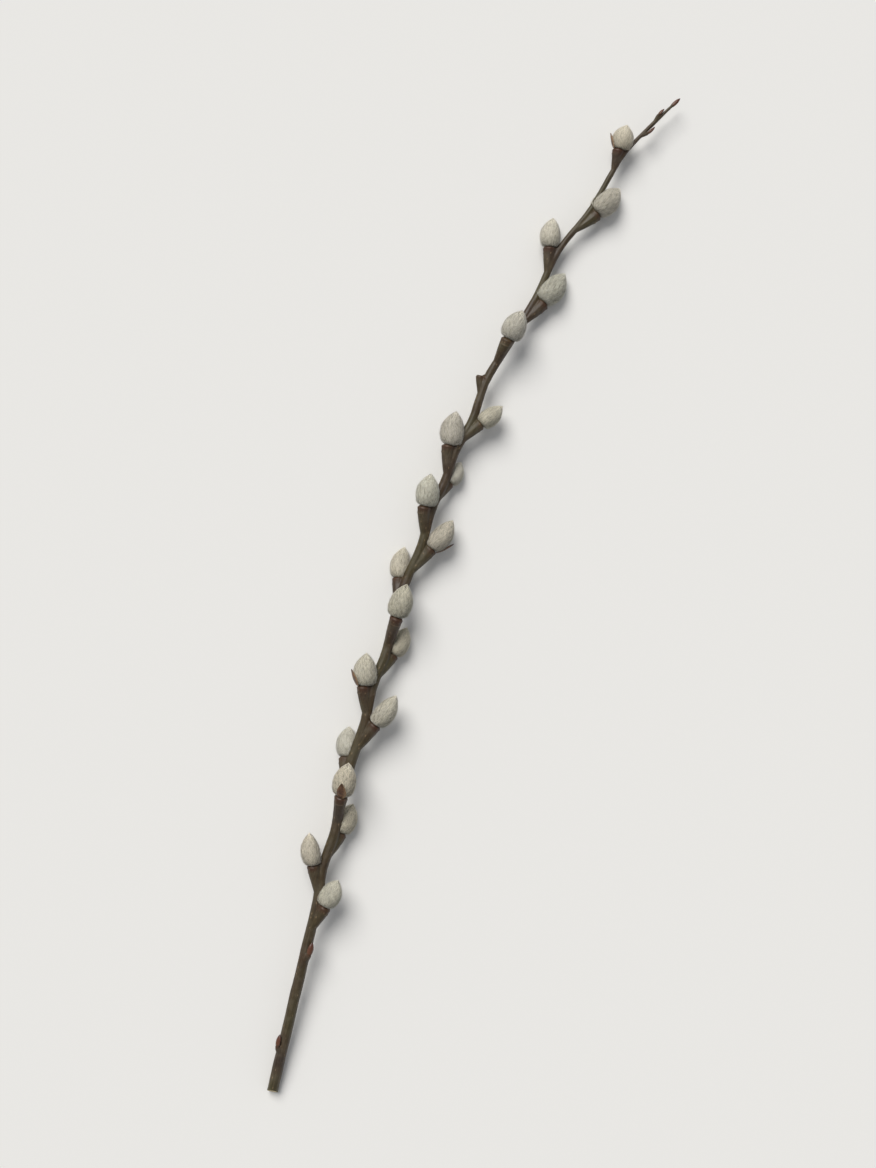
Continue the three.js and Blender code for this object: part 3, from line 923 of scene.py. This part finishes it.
def silk_tint(tuft, share, chance):
    """The tint of each hair: its catkin's, times its tuft's and its own, and painted light: painted shade at
    the foot, a painted highlight towards the tip.
    """
    warmth = np.clip(chance.normal(0.008, 0.022), -0.012, 0.035)
    greenness = np.clip(chance.normal(0.006, 0.014), -0.012, 0.026)
    catkin_tint = chance.uniform(*CATKIN_TINTS) * np.array([1 + warmth, 1 + greenness, 1 - 1.5 * warmth])
    hair_tint = chance.uniform(*TUFT_TINTS, BRACTS)[tuft] * chance.uniform(*HAIR_TINTS, len(tuft))
    # painted light along the catkin: painted shade at the foot, lighter up its length, and a painted
    # highlight over its top two fifths
    painted_foot_shade_tip_highlight = 0.93 + 0.10 * share + 0.2 * np.clip((share - 0.6) / 0.4, 0, 1)
    tint = np.clip((hair_tint * painted_foot_shade_tip_highlight)[:, None] * catkin_tint, 0, 1.2)
    return np.concatenate([tint, np.ones((len(tuft), 1))], axis=1)


spike_finish = spike_material()
silk_finish = silk_material()
bract_share, bract_turn = bract_places()

for number, node in enumerate(catkin_nodes, 1):
    seat = seats[node]
    chance = np.random.default_rng(number)
    bract_centres = on_spike(seat, bract_share, bract_turn)
    spike = make_spike(node, seat, bract_centres)
    spike.data.materials.append(spike_finish)
    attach(spike, "root")
    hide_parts(node)

    corners, tuft, share, outward, first = grow_hairs(node, seat, bract_centres, chance)
    silk = make_silk(node + "_silk", corners)
    write_attribute(silk.data, "tint", "FLOAT_COLOR", np.repeat(silk_tint(tuft, share, chance), 5, axis=0))
    # each corner's place along its hair: the material greys the root, partly as painted shade deep in the
    # silk
    write_attribute(silk.data, "hair", "FLOAT", np.tile([0, 0, 0.5, 0.5, 1], len(corners)))
    sway = chance.normal(0, SWAY, outward.shape)
    hair_normals = np.repeat(unit(outward + NORMAL_LEAN * first + sway), 5, axis=0)
    silk.data.normals_split_custom_set_from_vertices(hair_normals.tolist())
    silk.data.materials.append(silk_finish)
    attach(silk, "root")
    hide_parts(node)


# THE TABLE, THE LIGHT AND THE CAMERA. A pale matt surface under a soft high light from the tip's side, with
# the camera straight above and turned, so that the branch leans to the right.
TABLE_SIZE = 60
LEAN = math.radians(21)
LENS = 50
SENSOR = 36
VIEW_HEIGHT = 745 * MM  # what the camera takes in on the table, along the picture's long side
LIGHT_FROM = Vector((-0.61, 0.62, 1.0))

bpy.ops.object.select_all(action="DESELECT")
bpy.ops.mesh.primitive_plane_add(size=TABLE_SIZE)
table_top = bpy.context.active_object
table_top.name = "table_top"
table_top.data.materials.append(Finish("table_top").finished({
    "Base Color": (0.80, 0.79, 0.765, 1),
    "Roughness": 0.9,
    "Specular IOR Level": 0.1,
}))

sun = bpy.data.lights.new("high_window", "SUN")
sun.energy = 2.87
sun.angle = math.radians(38)
sun.color = (1.0, 0.985, 0.96)
high_window = bpy.data.objects.new("high_window", sun)
high_window.rotation_euler = LIGHT_FROM.to_track_quat("Z", "Y").to_euler()
bpy.context.scene.collection.objects.link(high_window)

# The room lights the branch from all round, and the camera sees a pale wall in its place.
room = bpy.data.worlds.new("room")
room.use_nodes = True
soft_light = room.node_tree.nodes["Background"]
soft_light.inputs["Color"].default_value = (0.93, 0.955, 1.0, 1)
soft_light.inputs["Strength"].default_value = 0.35
pale_wall = room.node_tree.nodes.new("ShaderNodeBackground")
pale_wall.inputs["Color"].default_value = (0.81, 0.795, 0.765, 1)
seen = room.node_tree.nodes.new("ShaderNodeLightPath")
either = room.node_tree.nodes.new("ShaderNodeMixShader")
room.node_tree.links.new(seen.outputs["Is Camera Ray"], either.inputs[0])
room.node_tree.links.new(soft_light.outputs[0], either.inputs[1])
room.node_tree.links.new(pale_wall.outputs[0], either.inputs[2])
room.node_tree.links.new(either.outputs[0], room.node_tree.nodes["World Output"].inputs["Surface"])
bpy.context.scene.world = room

lens = bpy.data.cameras.new("overhead")
lens.lens = LENS
lens.sensor_width = SENSOR
lens.clip_end = 50
overhead = bpy.data.objects.new("overhead", lens)
middle = (cad_box[0] + cad_box[1]) / 2
overhead.location = (middle.x, middle.y, middle.z + VIEW_HEIGHT * LENS / SENSOR)
overhead.rotation_euler = (0, 0, LEAN)
bpy.context.scene.collection.objects.link(overhead)
bpy.context.scene.camera = overhead
bpy.context.scene.view_settings.view_transform = "Standard"
